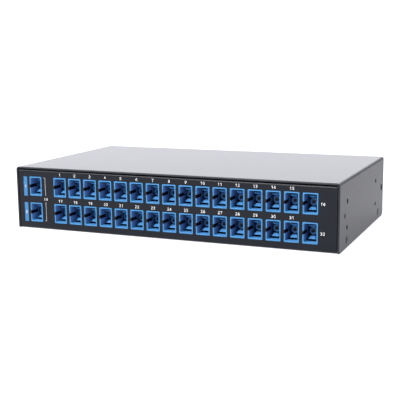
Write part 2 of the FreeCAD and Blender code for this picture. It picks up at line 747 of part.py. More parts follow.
def add_oval(sketch, radius):
    """Outline round the coil's two ends: half turns in flats that touch the radius, and straights."""
    half_step = 90 / COIL_END_SIDES
    corner_radius = f"({radius} / cos({half_step} deg))"
    corners = []
    for side, start in (("", -90), ("-", 90)):
        for i in range(COIL_END_SIDES):
            turn = start + (2 * i + 1) * half_step
            corners.append((
                f"{side}(dims.coil_straight / 2) + {corner_radius} * cos({turn} deg)",
                f"{corner_radius} * sin({turn} deg)",
            ))
    add_polygon(sketch, corners)


def make_saddles():
    """Four open saddles on the floor, two under each straight stretch of the coil."""
    body = new_body("coil_saddles")
    first_x = "-(dims.saddle_spacing + dims.saddle_length) / 2"
    first_y = f"{COIL_Y} - dims.coil_radius"
    section = new_sketch(
        body, "saddle_section", "YZ_Plane", (first_y, "dims.tray_sheet", first_x)
    )
    inner = "(dims.coil_width / 2 + dims.saddle_play)"
    outer = f"({inner} + dims.saddle_wall)"
    add_polygon(section, [
        (f"-{outer}", "0"),
        (outer, "0"),
        (outer, "dims.saddle_height"),
        (inner, "dims.saddle_height"),
        (inner, "dims.saddle_floor"),
        (f"-{inner}", "dims.saddle_floor"),
        (f"-{inner}", "dims.saddle_height"),
        (f"-{outer}", "dims.saddle_height"),
    ])
    feature = pad(body, section, "dims.saddle_length")
    second = ("N_Axis", "dims.saddle_spacing", 2)
    repeat(body, feature, section, "2 * dims.coil_radius", 2, second=second)
    return body


def make_block(label, width, depth, height, base):
    """Plain block centred on the coil's middle, from a base height up."""
    block = doc.addObject("Part::Box", label)
    block.Label = label
    block.setExpression("Length", f"1 mm * ({width})")
    block.setExpression("Width", f"1 mm * ({depth})")
    block.setExpression("Height", f"1 mm * ({height})")
    block.setExpression("Placement.Base.x", f"-1 mm * ({width}) / 2")
    block.setExpression("Placement.Base.y", f"1 mm * ({COIL_Y} - ({depth}) / 2)")
    block.setExpression("Placement.Base.z", f"1 mm * ({base})")
    return block


def make_tails():
    """Fibre tails from both ends of the splitter module to the inside of the coil."""
    body = new_body("module_tails")
    height = "dims.tray_sheet + dims.pad_height + dims.module_height / 2"
    reach = "(dims.coil_straight / 2 + dims.coil_radius - dims.coil_width / 2)"
    start = "(dims.module_length / 2)"
    section = new_sketch(body, "tail_section", "YZ_Plane", (COIL_Y, height, start))
    add_regular_polygon(section, 8, "dims.tail_radius")
    pad(body, section, f"{reach} - {start} - dims.bundle_play")
    mirror_body(body, "YZ_Plane")
    return body


def rounded_path(points, radii):
    """Straight runs through the points, joined by tangent arcs at all but the end points."""
    edges = []
    start = points[0]
    for before, corner, after, radius in zip(points, points[1:], points[2:], radii):
        back = (before - corner).normalize()
        ahead = (after - corner).normalize()
        half_turn = back.getAngle(ahead) / 2
        setback = radius / math.tan(half_turn)
        middle = (back + ahead).normalize()
        rise = radius / math.sin(half_turn) - radius
        arc_start = corner + back * setback
        arc_end = corner + ahead * setback
        edges.append(Part.LineSegment(start, arc_start).toShape())
        edges.append(Part.Arc(arc_start, corner + middle * rise, arc_end).toShape())
        start = arc_end
    edges.append(Part.LineSegment(start, points[-1]).toShape())
    return Part.Wire(edges)


def make_bundle(label, corners, bends):
    """Fibre bundle behind one row of boots, round the right side and on to the coil."""
    points = [FreeCAD.Vector(*(measure(value) for value in corner)) for corner in corners]
    path = rounded_path(points, [measure(bend) for bend in bends])
    radius = measure("dims.bundle_radius")
    ring = []
    for i in range(BUNDLE_SIDES):
        turn = math.radians(360 * (i + 0.5) / BUNDLE_SIDES)
        ring.append(points[0] + FreeCAD.Vector(0, radius * math.cos(turn), radius * math.sin(turn)))
    outline = Part.makePolygon(ring + ring[:1])
    solid = path.makePipeShell([outline], True, False)
    expected = Part.Face(outline).Area * path.Length
    print(f"{label}: bends {bends}, volume {solid.Volume:.1f}, section x length {expected:.1f}")
    if abs(solid.Volume - expected) > 0.01 * expected:
        raise RuntimeError(f"{label}: the sweep's volume is wrong")
    feature = doc.addObject("Part::Feature", label)
    feature.Label = label
    feature.Shape = solid
    feature.Placement = FreeCAD.Placement()
    return feature


def make_bundles():
    """Lower bundle resting on the coil, and upper bundle that falls to rest on the lower one."""
    start_x = f"({UPLINK_X} - dims.bundle_overrun)"
    turn_x = f"({LAST_OUTPUT_X} + dims.bundle_overrun + dims.bundle_bend)"
    rear_y = f"({COIL_Y} + dims.coil_radius)"
    low = f"({COIL_TOP} + dims.bundle_play + dims.bundle_radius)"
    high = f"({low} + 2 * dims.bundle_radius + dims.bundle_play)"
    lower = make_bundle(
        "lower_bundle",
        [
            (start_x, BUNDLE_Y, low),
            (turn_x, BUNDLE_Y, low),
            (turn_x, rear_y, low),
            ("dims.bundle_end", rear_y, low),
        ],
        ["dims.bundle_bend", "dims.bundle_sweep"],
    )
    upper = make_bundle(
        "upper_bundle",
        [
            (start_x, BUNDLE_Y, UPPER_ROW),
            (turn_x, BUNDLE_Y, UPPER_ROW),
            (turn_x, f"{BUNDLE_Y} + dims.bundle_level", UPPER_ROW),
            (turn_x, rear_y, high),
            ("dims.bundle_end", rear_y, high),
        ],
        ["dims.bundle_bend", "dims.bundle_fall_bend", "dims.bundle_sweep"],
    )
    return [lower, upper]


# ---------------------------------------------------------------------------------------------
# Build, check and write
# ---------------------------------------------------------------------------------------------

def build_parts():
    """Every sub-part that is written to a file of its own."""
    parts = [make_tray(), make_cover()]
    parts += make_adapters()
    for group, column, is_output in (("output", OUTPUT_X, True), ("uplink", UPLINK_X, False)):
        parts.append(make_clips(f"{group}_adapter_clips", column, is_output))
        parts.append(make_connectors(f"{group}_connectors", column, is_output))
        parts.append(make_boots(f"{group}_boots", column, is_output))
    parts.append(make_cover_screws())
    parts.append(make_ear_screws())
    parts.append(make_ear_nuts())
    parts.append(make_coil())
    parts.append(make_saddles())
    pad_base = "dims.tray_sheet"
    parts.append(make_block(
        "module_pad", "dims.module_length", "dims.module_width", "dims.pad_height", pad_base
    ))
    parts.append(make_block(
        "splitter_module", "dims.module_length", "dims.module_width", "dims.module_height",
        f"({pad_base} + dims.pad_height)",
    ))
    parts.append(make_tails())
    parts += make_bundles()
    return parts


def check_document(parts):
    """Stops at any failed object and at any sub-part without a sound shape."""
    for item in doc.Objects:
        if "Invalid" in item.State or "Error" in item.State:
            raise RuntimeError(f"{item.Label} failed: {item.State}")
    for item in parts:
        if item.Shape.isNull() or not item.Shape.isValid() or not item.Shape.Solids:
            raise RuntimeError(f"{item.Label} has no sound shape")


def write_parts(parts):
    """One STEP file for each sub-part, named by its label."""
    os.makedirs("parts", exist_ok=True)
    for item in parts:
        item.Shape.exportStep(f"parts/{item.Label}.step")
        print(f"{item.Label}: {len(item.Shape.Solids)} solids, {item.Shape.Volume:.1f} mm3")


built = build_parts()
doc.recompute()
check_document(built)
write_parts(built)
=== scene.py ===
"""Looks of the rack-mount fibre splitter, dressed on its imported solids.

The case is folded steel with a dark powder coat. Thirty-four moulded SC adapters sit in its front
panel, each a piece of its own with a chamfered rim, latch ramps, a key slot and a sleeve holder.
The panel carries white port numbers, a frame line and a blue field beside each uplink. Metres,
+X to the right as seen from the front, +Y to the rear, +Z up.
"""

import logging
import math
from dataclasses import dataclass
from enum import Enum, IntEnum
from typing import Callable, Iterable, Sequence

import bmesh
import bpy
from mathutils import Matrix, Vector


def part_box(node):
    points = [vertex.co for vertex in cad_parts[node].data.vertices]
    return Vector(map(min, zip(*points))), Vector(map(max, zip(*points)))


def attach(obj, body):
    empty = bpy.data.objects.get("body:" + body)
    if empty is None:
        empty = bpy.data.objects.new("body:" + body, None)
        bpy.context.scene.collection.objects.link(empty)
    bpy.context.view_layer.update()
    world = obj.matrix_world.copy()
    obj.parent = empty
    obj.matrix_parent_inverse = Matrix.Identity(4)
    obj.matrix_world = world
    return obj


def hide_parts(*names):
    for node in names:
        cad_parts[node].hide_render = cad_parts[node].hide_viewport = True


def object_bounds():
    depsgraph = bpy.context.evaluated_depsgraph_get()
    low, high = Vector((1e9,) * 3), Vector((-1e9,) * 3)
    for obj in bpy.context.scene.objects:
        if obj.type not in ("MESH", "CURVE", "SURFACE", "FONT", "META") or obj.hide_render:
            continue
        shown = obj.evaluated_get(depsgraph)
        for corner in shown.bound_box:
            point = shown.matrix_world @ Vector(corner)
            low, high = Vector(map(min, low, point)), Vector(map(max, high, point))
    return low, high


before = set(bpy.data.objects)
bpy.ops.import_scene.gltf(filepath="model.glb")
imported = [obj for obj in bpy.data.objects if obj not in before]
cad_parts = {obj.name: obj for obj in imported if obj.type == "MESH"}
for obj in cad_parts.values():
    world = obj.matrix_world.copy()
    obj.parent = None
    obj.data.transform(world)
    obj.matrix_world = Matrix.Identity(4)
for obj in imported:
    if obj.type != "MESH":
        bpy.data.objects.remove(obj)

CAD_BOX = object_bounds()
LOG = logging.getLogger("fibre_splitter")
MM = 0.001

Triple = tuple[float, float, float]
Point = Colour = Triple
Shade = Area = tuple[float, float, float, float]
Pair = tuple[float, float]

BMesh, Face = bmesh.types.BMesh, bmesh.types.BMFace
Material, Mesh, Object = bpy.types.Material, bpy.types.Mesh, bpy.types.Object
Socket = bpy.types.NodeSocket


# ----- Finishes -----


class Surface:
    """A node material under construction, with short calls for what the finishes share."""

    LOW = 0.3
    HIGH = 0.7

    def __init__(self, name: str) -> None:
        """Starts an empty material with a principled shader.

        Args:
            name: the material's name.
        """
        self.material = bpy.data.materials.new(name)
        self.material.use_nodes = True
        self.tree = self.material.node_tree
        self.shader = self.tree.nodes["Principled BSDF"]
        self.place = self.tree.nodes.new("ShaderNodeTexCoord")

    def set(self, **sockets: float | Sequence[float]) -> None:
        """Sets shader sockets by name, with underscores for the spaces.

        Args:
            **sockets: socket name and its value.
        """
        for name, value in sockets.items():
            self.shader.inputs[name.replace("_", " ")].default_value = value

    def node(self, kind: str) -> bpy.types.Node:
        """Adds a node of a kind, given without its ShaderNode prefix."""
        return self.tree.nodes.new("ShaderNode" + kind)

    def join(self, source: Socket, target: Socket) -> None:
        """Links two sockets."""
        self.tree.links.new(source, target)

    def noise(self, scale: float, detail: float, stretch: Point = (1.0, 1.0, 1.0)) -> Socket:
        """A noise in the object's own metres.

        Args:
            scale: noise cells in a metre.
            detail: octaves of finer noise.
            stretch: scale along each axis.

        Returns:
            The noise's factor.
        """
        mapping = self.node("Mapping")
        mapping.inputs["Scale"].default_value = stretch
        self.join(self.place.outputs["Object"], mapping.inputs["Vector"])
        made = self.node("TexNoise")
        made.inputs["Scale"].default_value = scale
        made.inputs["Detail"].default_value = detail
        self.join(mapping.outputs["Vector"], made.inputs["Vector"])
        return made.outputs["Fac"]

    def gloss(self, factor: Socket, middle: float, spread: float) -> None:
        """Varies the roughness with the middle of a noise.

        Args:
            factor: the noise.
            middle: the roughness.
            spread: how far it goes down and up.
        """
        made = self.node("MapRange")
        span = (("From Min", self.LOW), ("From Max", self.HIGH))
        for socket, value in (*span, ("To Min", middle - spread), ("To Max", middle + spread)):
            made.inputs[socket].default_value = value
        self.join(factor, made.inputs["Value"])
        self.join(made.outputs["Result"], self.shader.inputs["Roughness"])

    def tint(self, factor: Socket, colour: Colour, shares: Pair) -> None:
        """Varies the base colour with the middle of a noise.

        Args:
            factor: the noise.
            colour: linear red, green and blue.
            shares: of the colour, where the noise is low and where it is high.
        """
        ramp = self.node("ValToRGB")
        ends = zip(ramp.color_ramp.elements, (self.LOW, self.HIGH), shares)
        for element, position, share in ends:
            element.position = position
            element.color = (*(min(1.0, part * share) for part in colour), 1.0)
        self.join(factor, ramp.inputs["Fac"])
        self.join(ramp.outputs["Color"], self.shader.inputs["Base Color"])

    def bump(self, heights: Iterable[tuple[Socket, float]]) -> None:
        """Stacks bump layers on the shader's normal.

        Args:
            heights: pairs of a height between 0 and 1 and its full depth in metres.
        """
        below = None
        for height, depth in heights:
            made = self.node("Bump")
            made.inputs["Distance"].default_value = depth
            self.join(height, made.inputs["Height"])
            if below is not None:
                self.join(below, made.inputs["Normal"])
            below = made.outputs["Normal"]
        self.join(below, self.shader.inputs["Normal"])


@dataclass(frozen=True)
class PowderCoat:
    """Baked powder coat on sheet steel: fine orange peel with a satin gloss."""

    name: str
    colour: Colour
    roughness: float
    ior: float
    level: float = 0.5
    shares: Pair = (0.92, 1.08)
    spread: float = 0.03
    cloud_scale: float = 60.0
    peel_scale: float = 1500.0
    peel_depth: float = 0.012 * MM
    grit_scale: float = 5200.0
    grit_depth: float = 0.004 * MM

    def build(self) -> Material:
        """Returns the material."""
        surface = Surface(self.name)
        surface.set(IOR=self.ior, Specular_IOR_Level=self.level)
        cloud = surface.noise(self.cloud_scale, 4.0)
        peel = surface.noise(self.peel_scale, 2.0)
        grit = surface.noise(self.grit_scale, 1.0)
        surface.tint(cloud, self.colour, self.shares)
        surface.gloss(peel, self.roughness, self.spread)
        surface.bump([(peel, self.peel_depth), (grit, self.grit_depth)])
        return surface.material


@dataclass(frozen=True)
class MouldedPlastic:
    """Injection-moulded plastic with a faint matt texture and soft flow marks."""

    name: str
    colour: Colour
    roughness: float = 0.4
    depth: float = 0.006 * MM
    level: float = 0.5
    ior: float = 1.5
    shares: Pair = (0.93, 1.06)
    spread: float = 0.05
    flow_scale: float = 260.0
    flow_stretch: Point = (1.0, 0.35, 1.0)
    grain_scale: float = 4200.0

    def build(self) -> Material:
        """Returns the material."""
        surface = Surface(self.name)
        surface.set(IOR=self.ior, Specular_IOR_Level=self.level)
        flow = surface.noise(self.flow_scale, 2.0, self.flow_stretch)
        grain = surface.noise(self.grain_scale, 2.0)
        surface.tint(flow, self.colour, self.shares)
        surface.gloss(grain, self.roughness, self.spread)
        surface.bump([(flow, self.depth), (grain, self.depth)])
        return surface.material


@dataclass(frozen=True)
class BareMetal:
    """Rolled or plated metal with fine lines along one axis."""

    name: str
    colour: Colour
    roughness: float
    stretch: Point = (0.08, 1.0, 1.0)
    shares: Pair = (0.9, 1.05)
    spread: float = 0.08
    line_scale: float = 3500.0
    line_depth: float = 0.004 * MM
    stain_scale: float = 180.0

    def build(self) -> Material:
        """Returns the material."""
        surface = Surface(self.name)
        surface.set(Metallic=1.0)
        lines = surface.noise(self.line_scale, 3.0, self.stretch)
        stain = surface.noise(self.stain_scale, 3.0)
        surface.tint(stain, self.colour, self.shares)
        surface.gloss(lines, self.roughness, self.spread)
        surface.bump([(lines, self.line_depth)])
        return surface.material


@dataclass(frozen=True)
class PanelInk:
    """Screen-printed ink, a little uneven where the coat's peel shows through it."""

    name: str
    colour: Colour
    roughness: float = 0.55
    ior: float = 1.45
    shares: Pair = (0.88, 1.0)
    spread: float = 0.05
    cover_scale: float = 900.0
    cover_depth: float = 0.006 * MM

    def build(self) -> Material:
        """Returns the material."""
        surface = Surface(self.name)
        surface.set(IOR=self.ior)
        cover = surface.noise(self.cover_scale, 3.0)
        surface.tint(cover, self.colour, self.shares)
        surface.gloss(cover, self.roughness, self.spread)
        surface.bump([(cover, self.cover_depth)])
        return surface.material


@dataclass(frozen=True)
class WoundFibre:
    """Jacketed fibres side by side: fine ridges along a bundle."""

    name: str
    colour: Colour
    roughness: float = 0.485
    stretch: Point = (0.06, 1.0, 1.0)
    shares: Pair = (0.72, 1.05)
    spread: float = 0.065
    strand_scale: float = 1400.0
    strand_depth: float = 0.2 * MM

    def build(self) -> Material:
        """Returns the material."""
        surface = Surface(self.name)
        # The noise that raises the strands also darkens the grooves between them: painted shade.
        strands = surface.noise(self.strand_scale, 2.0, self.stretch)
        surface.tint(strands, self.colour, self.shares)
        surface.gloss(strands, self.roughness, self.spread)
        surface.bump([(strands, self.strand_depth)])
        return surface.material


class Finish(Enum):
    """Every finish on the splitter, with the record's slot that it belongs to."""

    COVER_COAT = (PowderCoat("cover_coat", (0.022, 0.0235, 0.029), 0.36, 1.5, 0.18), "powder_coat")
    # The tray takes the cover's powder coat with a base about five times darker: painted shade for
    # the dim front panel.
    TRAY_COAT = (PowderCoat("tray_coat", (0.0036, 0.005, 0.009), 0.33, 1.5, 0.24), "powder_coat")
    ADAPTER_BLUE = (MouldedPlastic("adapter_blue", (0.035, 0.194, 0.432), 0.42), "adapter_plastic")
    # Near-black, nearly unreflecting plastic for the back plate, the floor and roof behind the arms
    # and the key slot: painted shade of the deep mouth.
    ADAPTER_SHADE = (
        MouldedPlastic("adapter_shade", (0.003, 0.005, 0.014), 0.7, level=0.08), "adapter_plastic"
    )
    # A greyer, less glossy copy of the adapter blue for the mouth's side walls: painted shade.
    ADAPTER_INSIDE = (
        MouldedPlastic("adapter_inside", (0.085, 0.185, 0.420), 0.5, level=0.25), "adapter_plastic"
    )
    # A lighter copy of the adapter blue for the latch ramps and the mouth's sill: painted light.
    LATCH_BLUE = (MouldedPlastic("latch_blue", (0.066, 0.235, 0.500), 0.42), "adapter_plastic")
    # A darker copy of the adapter blue for the sleeve holder deep in the mouth: painted shade.
    HOLDER_BLUE = (MouldedPlastic("holder_blue", (0.034, 0.145, 0.330), 0.42), "adapter_plastic")
    # Grey metal, darkened to its look deep in the bore: partly its own colour, partly painted
    # shade.
    SLEEVE_METAL = (BareMetal("sleeve_metal_painted_shade", (0.10, 0.105, 0.12), 0.42), "adapter_plastic")
    # A near-black disc that closes the bore: painted shade at the bore's bottom.
    FERRULE_CERAMIC = (
        MouldedPlastic("ferrule_ceramic", (0.010, 0.015, 0.026), 0.45, level=0.3), "adapter_plastic"
    )
    SPRING_STEEL = (BareMetal("spring_steel", (0.52, 0.52, 0.53), 0.3), "spring_steel")
    CONNECTOR_BLUE = (
        MouldedPlastic("connector_blue", (0.03, 0.16, 0.52), 0.35), "connector_plastic"
    )
    BOOT_RUBBER = (MouldedPlastic("boot_rubber", (0.03, 0.15, 0.45), 0.6, 0.01 * MM), "boot_rubber")
    BLACK_SCREW = (PowderCoat("black_screw", (0.010, 0.010, 0.012), 0.5, 1.45, 0.12), "black_screw")
    PLATED_NUT = (BareMetal("plated_nut", (0.10, 0.10, 0.11), 0.4), "plated_nut")
    FIBRE_JACKET = (WoundFibre("fibre_jacket", (0.80, 0.62, 0.08)), "fibre_jacket")
    SADDLE_NYLON = (MouldedPlastic("saddle_nylon", (0.72, 0.71, 0.66), 0.45), "saddle_nylon")
    FOAM_TAPE = (MouldedPlastic("foam_tape", (0.62, 0.62, 0.6), 0.9, 0.06 * MM), "foam_tape")
    MODULE_STEEL = (BareMetal("module_steel", (0.6, 0.6, 0.61), 0.28), "module_steel")
    WHITE_INK = (PanelInk("white_ink", (0.84, 0.84, 0.84)), "powder_coat")
    GREY_INK = (PanelInk("grey_ink", (0.45, 0.45, 0.45)), "powder_coat")
    BLUE_INK = (PanelInk("blue_ink", (0.031, 0.163, 0.368)), "powder_coat")

    @property
    def material(self) -> Material:
        """The finish's material, built on first use."""
        recipe = self.value[0]
        return bpy.data.materials.get(recipe.name) or recipe.build()

    @property
    def slot(self) -> str:
        """The record's material slot."""
        return self.value[1]


# ----- Shared mesh work -----


def settled(mesh: BMesh, name: str) -> Mesh:
    """Writes a working mesh to mesh data and frees it.

    Args:
        mesh: the working mesh.
        name: the data's name.

    Returns:
        The mesh data.
    """
    data = bpy.data.meshes.new(name)
    mesh.to_mesh(data)
    mesh.free()
    return data


def linked(name: str, data: bpy.types.ID) -> Object:
    """Makes an object of the data and puts it in the scene.

    Args:
        name: the object's name.
        data: its mesh, camera or light.

    Returns:
        The object.
    """
    made = bpy.data.objects.new(name, data)
    bpy.context.scene.collection.objects.link(made)
    return made


def carved(body: BMesh, cutter: BMesh, name: str) -> Mesh:
    """Cuts one closed working mesh out of another, and frees both.

    Args:
        body: what is cut.
        cutter: the space that is taken away.
        name: the data's name.

    Returns:
        The cut mesh.
    """
    pair = []
    for mesh in (body, cutter):
        bmesh.ops.recalc_face_normals(mesh, faces=mesh.faces)
        pair.append(linked(name, settled(mesh, name)))
    cut = pair[0].modifiers.new("cut", "BOOLEAN")
    cut.operation, cut.object, cut.solver, cut.use_self = "DIFFERENCE", pair[1], "EXACT", True
    bpy.context.view_layer.update()
    evaluated = pair[0].evaluated_get(bpy.context.evaluated_depsgraph_get())
    data = bpy.data.meshes.new_from_object(evaluated)
    for used in pair:
        bpy.data.objects.remove(used)
    return data


def as_piece(name: str, data: Mesh, place: Matrix = Matrix()) -> Object:
    """Makes and reports a piece of the splitter, riding on the case.

    Args:
        name: the piece's name.
        data: its mesh.
        place: where it stands.

    Returns:
        The piece.
    """
    made = linked(name, data)
    made.matrix_world = place
    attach(made, "root")
    LOG.info("piece %s", name)
    return made


def skin(
    mesh: BMesh, rings: Sequence[Sequence[Point]], closed: bool = True, material: int = 0
) -> None:
    """Joins rings of equal length by a skin of quads.

    Args:
        mesh: the working mesh.
        rings: the rings, in order.
        closed: whether a face closes the first ring, and another the last.
        material: material index of the new faces.
    """
    rows = [[mesh.verts.new(point) for point in ring] for ring in rings]
    faces = []
    for row, after in zip(rows, rows[1:]):
        for i in range(len(row)):
            j = (i + 1) % len(row)
            faces.append(mesh.faces.new((row[i], row[j], after[j], after[i])))
    if closed:
        faces += [mesh.faces.new(rows[0]), mesh.faces.new(rows[-1])]
    for face in faces:
        face.material_index = material
        face.smooth = True


def box(mesh: BMesh, low: Point, high: Point, material: int = 0) -> None:
    """Adds a closed box to the working mesh.

    Args:
        mesh: the working mesh.
        low: its lowest corner.
        high: its highest corner.
        material: material index of its faces.
    """
    ring = ((low[0], low[2]), (high[0], low[2]), (high[0], high[2]), (low[0], high[2]))
    skin(mesh, [[(x, y, z) for x, z in ring] for y in (low[1], high[1])], material=material)


def shade_by_angle(data: Mesh, degrees: float) -> None:
    """Smooths a mesh and keeps its edges sharper than an angle crisp.

    Args:
        data: the mesh.
        degrees: smallest angle between two faces that stays sharp.
    """
    work = bmesh.new()
    work.from_mesh(data)
    limit = math.radians(degrees)
    for face in work.faces:
        face.smooth = True
    for edge in work.edges:
        if len(edge.link_faces) == 2:
            edge.smooth = edge.calc_face_angle(0.0) < limit
    work.to_mesh(data)
    work.free()


# ----- Adapters -----


class Zone(IntEnum):
    """Zones of the adapter's mesh, numbered as their materials are."""

    RIM = 0
    # Sleeve, its grey metal partly darkened by painted shade.
    SLEEVE = 1
    # Near-black faces of the deep mouth and the key slot: painted shade.
    SHADE = 2
    # Disc at the bore's bottom, near-black: painted shade.
    FERRULE = 3
    # Side walls inside the mouth, in a shaded copy of the blue: painted shade.
    WALL = 4
    # Latch arms and the mouth's sill, in a lighter copy of the blue: painted light.
    LATCH = 5
    # Sleeve holder, in a darker copy of the blue: painted shade.
    HOLDER = 6


ZONE_FINISHES = (
    Finish.ADAPTER_BLUE, Finish.SLEEVE_METAL, Finish.ADAPTER_SHADE, Finish.FERRULE_CERAMIC,
    Finish.ADAPTER_INSIDE, Finish.LATCH_BLUE, Finish.HOLDER_BLUE,
)


@dataclass
class AdapterBank:
    """The 34 SC adapters. One moulding is made at the origin, with its rim's face at y = 0, and
    stands in every port."""

    rim_edge: float = 0.22 * MM
    rim_corner: float = 0.55 * MM
    rim_proud: float = 0.5 * MM
    rim_undercut: float = 0.22 * MM
    body_half: Pair = (4.65 * MM, 6.5 * MM)
    body_corner: float = 0.5 * MM
    body_edge: float = 0.2 * MM
    undercut_rise: Triple = (0.9, 0.1 * MM, 0.02 * MM)
    bevel_bulge: float = 0.3
    mouth_half: Pair = (4.08 * MM, 5.93 * MM)
    mouth_chamfer: float = 0.16 * MM
    chamfer_curve: Triple = (0.35, 0.4, 1.3)
    mouth_corner: float = 0.8 * MM
    mouth_depth: float = 13.0 * MM
    length: float = 27.4 * MM
    socket_half: Pair = (3.75 * MM, 4.5 * MM)
    socket_start: float = 14.4 * MM
    socket_edge: float = 0.3 * MM
    key_half_height: float = 1.15 * MM
    key_depth: float = 7.8 * MM
    ramp_front: float = 4.8 * MM
    ramp_back: float = 6.7 * MM
    ramp_outer: float = 4.63 * MM
    ramp_inner: float = 3.15 * MM
    ramp_half_front: float = 2.35 * MM
    ramp_half_back: float = 1.5 * MM
    upper_drop: float = 0.4 * MM
    arm_lip: float = 0.06 * MM
    arm_space: float = 0.6 * MM
    key_over: float = 1.0 * MM
    key_floor: float = 4.6 * MM
    key_web: float = 0.06 * MM
    outside: float = 8.0 * MM
    holder_front: float = 8.0 * MM
    holder_radius: float = 2.5 * MM
    holder_bevel: float = 0.3 * MM
    bore_radius: float = 1.38 * MM
    bore_bevel: float = 0.35 * MM
    sleeve_wall: float = 0.22 * MM
    sleeve_inset: float = 0.7 * MM
    ferrule_depth: float = 1.6 * MM
    ferrule_bevel: float = 0.15 * MM
    ferrule_cone: float = 0.2 * MM
    ferrule_hole: float = 0.07 * MM
    turned_sides: int = 32
    corner_steps: int = 5
    least_corner: float = 0.05 * MM
    close: float = 0.01 * MM
    facing: float = 0.9
    crisp_degrees: float = 32.0
    nodes: tuple[str, ...] = (
        "adapter_uplink_1",
        "adapter_uplink_2",
        *(f"adapter_out_{port:02d}" for port in range(1, 33)),
    )

    def ring(self, half: Pair, radius: float, inset: float, depth: float) -> list[Point]:
        """One ring of the moulding's skin: a rounded rectangle, anticlockwise.

        Args:
            half: half width and half height.
            radius: of the corners.
            inset: taken off all three.
            depth: behind the rim's face.

        Returns:
            The ring's points.
        """
        radius = max(radius - inset, self.least_corner)
        points = []
        for corner, (right, top) in enumerate(((1, 1), (-1, 1), (-1, -1), (1, -1))):
            across, up = right * (half[0] - inset - radius), top * (half[1] - inset - radius)
            for step in range(self.corner_steps):
                angle = (corner + step / (self.corner_steps - 1)) * math.pi / 2
                x, z = across + radius * math.cos(angle), up + radius * math.sin(angle)
                points.append((x, depth, z))
        return points

    def housing(self, rim_half: Pair) -> Mesh:
        """The moulding's shell: rim, body, front mouth and rear socket, with the key slot cut.

        Args:
            rim_half: half width and half height of the rim.

        Returns:
            The shell's mesh.
        """
        edge, chamfer, lip = self.rim_edge, self.mouth_chamfer, self.socket_edge
        socket, body = (self.socket_half, lip), (self.body_half, self.body_corner)
        rim, mouth = (rim_half, self.rim_corner), (self.mouth_half, self.mouth_corner)
        share, rise, step = self.undercut_rise
        inner, outer, end = self.chamfer_curve
        profile = [
            (socket, 0.0, self.socket_start),
            (socket, 0.0, self.length - lip),
            (socket, -lip, self.length),
            (body, self.body_edge, self.length),
            (body, 0.0, self.length - self.body_edge),
            (body, 0.0, self.rim_proud),
            (rim, self.rim_undercut, self.rim_proud),
            (rim, self.rim_undercut * share, edge + rise),
            (rim, 0.0, edge + step),
            (rim, edge * self.bevel_bulge, edge * self.bevel_bulge),
            (rim, edge, 0.0),
            (mouth, -chamfer, 0.0),
            (mouth, -chamfer * inner, chamfer * outer),
            (mouth, 0.0, chamfer * end),
            (mouth, 0.0, self.ramp_front),
            (mouth, 0.0, self.mouth_depth),
        ]
        mesh, cutter = bmesh.new(), bmesh.new()
        skin(mesh, [self.ring(*size, inset, depth) for size, inset, depth in profile])
        half, front = self.key_half_height, -self.key_over
        # The key slot's cut faces, and the thin floor left under its cut through the rim, take the
        # near-black plastic: painted shade.
        for left, right, back in (
            (-self.key_floor, 0.0, self.key_depth),
            (-self.outside, -self.mouth_half[0], self.rim_proud - self.key_web),
        ):
            box(cutter, (left, front, -half), (right, back, half), Zone.SHADE)
        return carved(mesh, cutter, "adapter_housing")

    def ramp(self, mesh: BMesh, side: int) -> None:
        """One latch arm with its chamfered lead-in ramp.

        Args:
            mesh: the working mesh.
            side: 1 for the upper arm, -1 for the lower one.
        """
        drop = self.upper_drop if side > 0 else 0.0
        outer, tip = self.ramp_outer - drop, self.ramp_inner - drop
        sections = (
            (self.ramp_half_front, outer - self.arm_lip, self.ramp_front),
            (self.ramp_half_back, tip, self.ramp_back),
            (self.ramp_half_back, tip, self.mouth_depth),
        )
        rings = []
        for half, inner, depth in sections:
            flat = ((half, inner), (-half, inner), (-half, outer), (half, outer))
            rings.append([(x, depth, side * z) for x, z in flat])
        # Both arms take the lighter copy of the blue: painted light.
        skin(mesh, rings, material=Zone.LATCH)

    def core(self, mesh: BMesh) -> None:
        """The sleeve holder with its chamfered bore, the sleeve in it and the ferrule behind.

        Args:
            mesh: the working mesh.
        """
        front, back, bevel = self.holder_front, self.mouth_depth, self.holder_bevel
        radius, bore = self.holder_radius, self.bore_radius
        bulge = bevel * self.bevel_bulge
        holder = [
            (radius + bevel / 3, back),
            (radius, front + bevel),
            (radius - bulge, front + bulge),
            (radius - bevel, front),
            (bore + bevel, front),
            (bore, front + self.bore_bevel),
            (bore, back),
        ]
        outside, inside = bore - self.close, bore - self.sleeve_wall
        start = front + self.sleeve_inset
        sleeve = [(outside, back), (outside, start), (inside, start), (inside, back)]
        tip, face = front + self.ferrule_depth, inside - self.ferrule_bevel
        ferrule = [(inside, tip + self.ferrule_cone), (face, tip), (self.ferrule_hole, tip)]
        around = [math.tau * step / self.turned_sides for step in range(self.turned_sides)]
        # Holder, sleeve and ferrule are darkened for the shade deep in the mouth: painted shade,
        # the sleeve partly its own grey metal.
        parts = ((holder, Zone.HOLDER), (sleeve, Zone.SLEEVE), (ferrule, Zone.FERRULE))
        for profile, zone in parts:
            rings = [[(r * math.cos(a), y, r * math.sin(a)) for a in around] for r, y in profile]
            skin(mesh, rings, False, zone)

    def zone(self, face: bpy.types.MeshPolygon) -> Zone:
        """Tells which zone a face of the shell belongs to.

        Args:
            face: the face, where the key slot's own faces are told already.

        Returns:
            Its zone.
        """
        middle, (half, high) = face.center, self.mouth_half
        told = Zone(face.material_index)
        in_mouth = abs(middle.x) < half + self.close and abs(middle.z) < high + self.close
        if told is not Zone.RIM or not in_mouth:
            return told
        # The back plate is painted shade.
        if abs(middle.y - self.mouth_depth) < self.close and abs(face.normal.y) > self.facing:
            return Zone.SHADE
        # The floor and roof behind the arms' fronts are painted shade.
        if abs(middle.z) > high - self.arm_space and self.ramp_front < middle.y < self.mouth_depth:
            return Zone.SHADE
        if middle.y > self.rim_proud:
